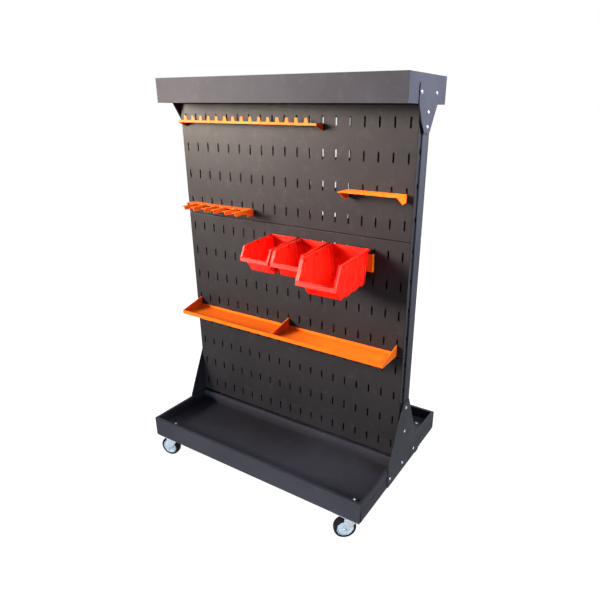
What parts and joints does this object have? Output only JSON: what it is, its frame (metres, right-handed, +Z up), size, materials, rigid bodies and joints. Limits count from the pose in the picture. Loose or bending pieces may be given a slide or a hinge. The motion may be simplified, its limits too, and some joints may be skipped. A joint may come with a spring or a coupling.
{
  "type": "mobile tool panel",
  "caption": "Double-sided slotted steel tool panel on casters, with a top tray, two base trays and lift-off orange tool holders, shelves and parts bins",
  "frame": {"origin": "on the floor under the middle of the frame, midway between the uprights and between the front and rear trays", "axes": "X to the right along the width seen from the front, Y from the front face to the rear face, Z up"},
  "size_m": [0.9742, 0.6654, 1.469],
  "materials": {
    "panel_steel": "fine textured powder coat",
    "frame_steel": "fine textured powder coat",
    "holder_orange": "satin powder coat",
    "bin_plastic": "gloss, moulded",
    "zinc": "bright zinc plate",
    "wheel_plastic": "moulded, light grey",
    "tyre_rubber": "matt"
  },
  "bodies": {
    "frame": {"front_panel_lower": "panel_steel", "front_panel_middle": "panel_steel", "front_panel_upper": "panel_steel", "rear_panel_lower": "panel_steel", "rear_panel_middle": "panel_steel", "rear_panel_upper": "panel_steel", "upright_left": "frame_steel", "upright_right": "frame_steel", "top_crossbar": "frame_steel", "top_bracket_left": "frame_steel", "top_bracket_right": "frame_steel", "gusset_left": "frame_steel", "gusset_right": "frame_steel", "side_rail_left": "frame_steel", "side_rail_right": "frame_steel", "front_beam": "frame_steel", "rear_beam": "frame_steel", "plinth": "frame_steel", "front_tray": "frame_steel", "rear_tray": "frame_steel", "top_tray": "frame_steel", "top_tray_floor": "frame_steel", "frame_screws": "zinc", "frame_nuts": "zinc", "tray_screws": "zinc", "tray_nuts": "zinc", "caster_screws": "zinc", "caster_nuts": "zinc", "caster_plate_front_left": "zinc", "caster_plate_front_right": "zinc", "caster_plate_rear_right": "zinc", "caster_plate_rear_left": "zinc"},
    "swivel_front_left": {"fork_front_left": "zinc", "axle_front_left": "zinc"},
    "wheel_front_left": {"wheel_core_front_left": "wheel_plastic", "tyre_front_left": "tyre_rubber"},
    "swivel_front_right": {"fork_front_right": "zinc", "axle_front_right": "zinc"},
    "wheel_front_right": {"wheel_core_front_right": "wheel_plastic", "tyre_front_right": "tyre_rubber"},
    "swivel_rear_right": {"fork_rear_right": "zinc", "axle_rear_right": "zinc"},
    "wheel_rear_right": {"wheel_core_rear_right": "wheel_plastic", "tyre_rear_right": "tyre_rubber"},
    "swivel_rear_left": {"fork_rear_left": "zinc", "axle_rear_left": "zinc"},
    "wheel_rear_left": {"wheel_core_rear_left": "wheel_plastic", "tyre_rear_left": "tyre_rubber"},
    "wrench_rack": {"wrench_rack": "holder_orange"},
    "tool_holder": {"tool_holder": "holder_orange"},
    "screwdriver_holder": {"screwdriver_holder": "holder_orange"},
    "shelf_left": {"shelf_left": "holder_orange"},
    "shelf_right": {"shelf_right": "holder_orange"},
    "bin_rail": {"bin_rail": "holder_orange"},
    "bin_left": {"bin_left": "bin_plastic"},
    "bin_middle": {"bin_middle": "bin_plastic"},
    "bin_right": {"bin_right": "bin_plastic"}
  },
  "joints": [
    {"name": "swivel_front_left", "type": "hinge", "parent": "frame", "child": "swivel_front_left", "pos_m": [-0.4255, -0.287, 0.09], "axis": [0, 0, 1], "continuous": true},
    {"name": "wheel_spin_front_left", "type": "hinge", "parent": "swivel_front_left", "child": "wheel_front_left", "pos_m": [-0.44702, -0.29157, 0.04], "axis": [0.2079, -0.9781, 0], "continuous": true},
    {"name": "swivel_front_right", "type": "hinge", "parent": "frame", "child": "swivel_front_right", "pos_m": [0.4255, -0.287, 0.09], "axis": [0, 0, 1], "continuous": true},
    {"name": "wheel_spin_front_right", "type": "hinge", "parent": "swivel_front_right", "child": "wheel_front_right", "pos_m": [0.40865, -0.30114, 0.04], "axis": [0.6428, -0.766, 0], "continuous": true},
    {"name": "swivel_rear_right", "type": "hinge", "parent": "frame", "child": "swivel_rear_right", "pos_m": [0.4255, 0.287, 0.09], "axis": [0, 0, 1], "continuous": true},
    {"name": "wheel_spin_rear_right", "type": "hinge", "parent": "swivel_rear_right", "child": "wheel_rear_right", "pos_m": [0.42358, 0.26508, 0.04], "axis": [0.9962, -0.0872, 0], "continuous": true},
    {"name": "swivel_rear_left", "type": "hinge", "parent": "frame", "child": "swivel_rear_left", "pos_m": [-0.4255, 0.287, 0.09], "axis": [0, 0, 1], "continuous": true},
    {"name": "wheel_spin_rear_left", "type": "hinge", "parent": "swivel_rear_left", "child": "wheel_rear_left", "pos_m": [-0.40483, 0.29452, 0.04], "axis": [-0.342, 0.9397, 0], "continuous": true},
    {"name": "wrench_rack_lift", "type": "slide", "parent": "frame", "child": "wrench_rack", "axis": [0, 0, 1], "range_m": [0, 0.008]},
    {"name": "tool_holder_lift", "type": "slide", "parent": "frame", "child": "tool_holder", "axis": [0, 0, 1], "range_m": [0, 0.008]},
    {"name": "screwdriver_holder_lift", "type": "slide", "parent": "frame", "child": "screwdriver_holder", "axis": [0, 0, 1], "range_m": [0, 0.008]},
    {"name": "shelf_left_lift", "type": "slide", "parent": "frame", "child": "shelf_left", "axis": [0, 0, 1], "range_m": [0, 0.008]},
    {"name": "shelf_right_lift", "type": "slide", "parent": "frame", "child": "shelf_right", "axis": [0, 0, 1], "range_m": [0, 0.008]},
    {"name": "bin_rail_lift", "type": "slide", "parent": "frame", "child": "bin_rail", "axis": [0, 0, 1], "range_m": [0, 0.008]},
    {"name": "bin_left_lift", "type": "slide", "parent": "bin_rail", "child": "bin_left", "axis": [0, 0, 1], "range_m": [0, 0.012]},
    {"name": "bin_middle_lift", "type": "slide", "parent": "bin_rail", "child": "bin_middle", "axis": [0, 0, 1], "range_m": [0, 0.012]},
    {"name": "bin_right_lift", "type": "slide", "parent": "bin_rail", "child": "bin_right", "axis": [0, 0, 1], "range_m": [0, 0.012]}
  ]
}
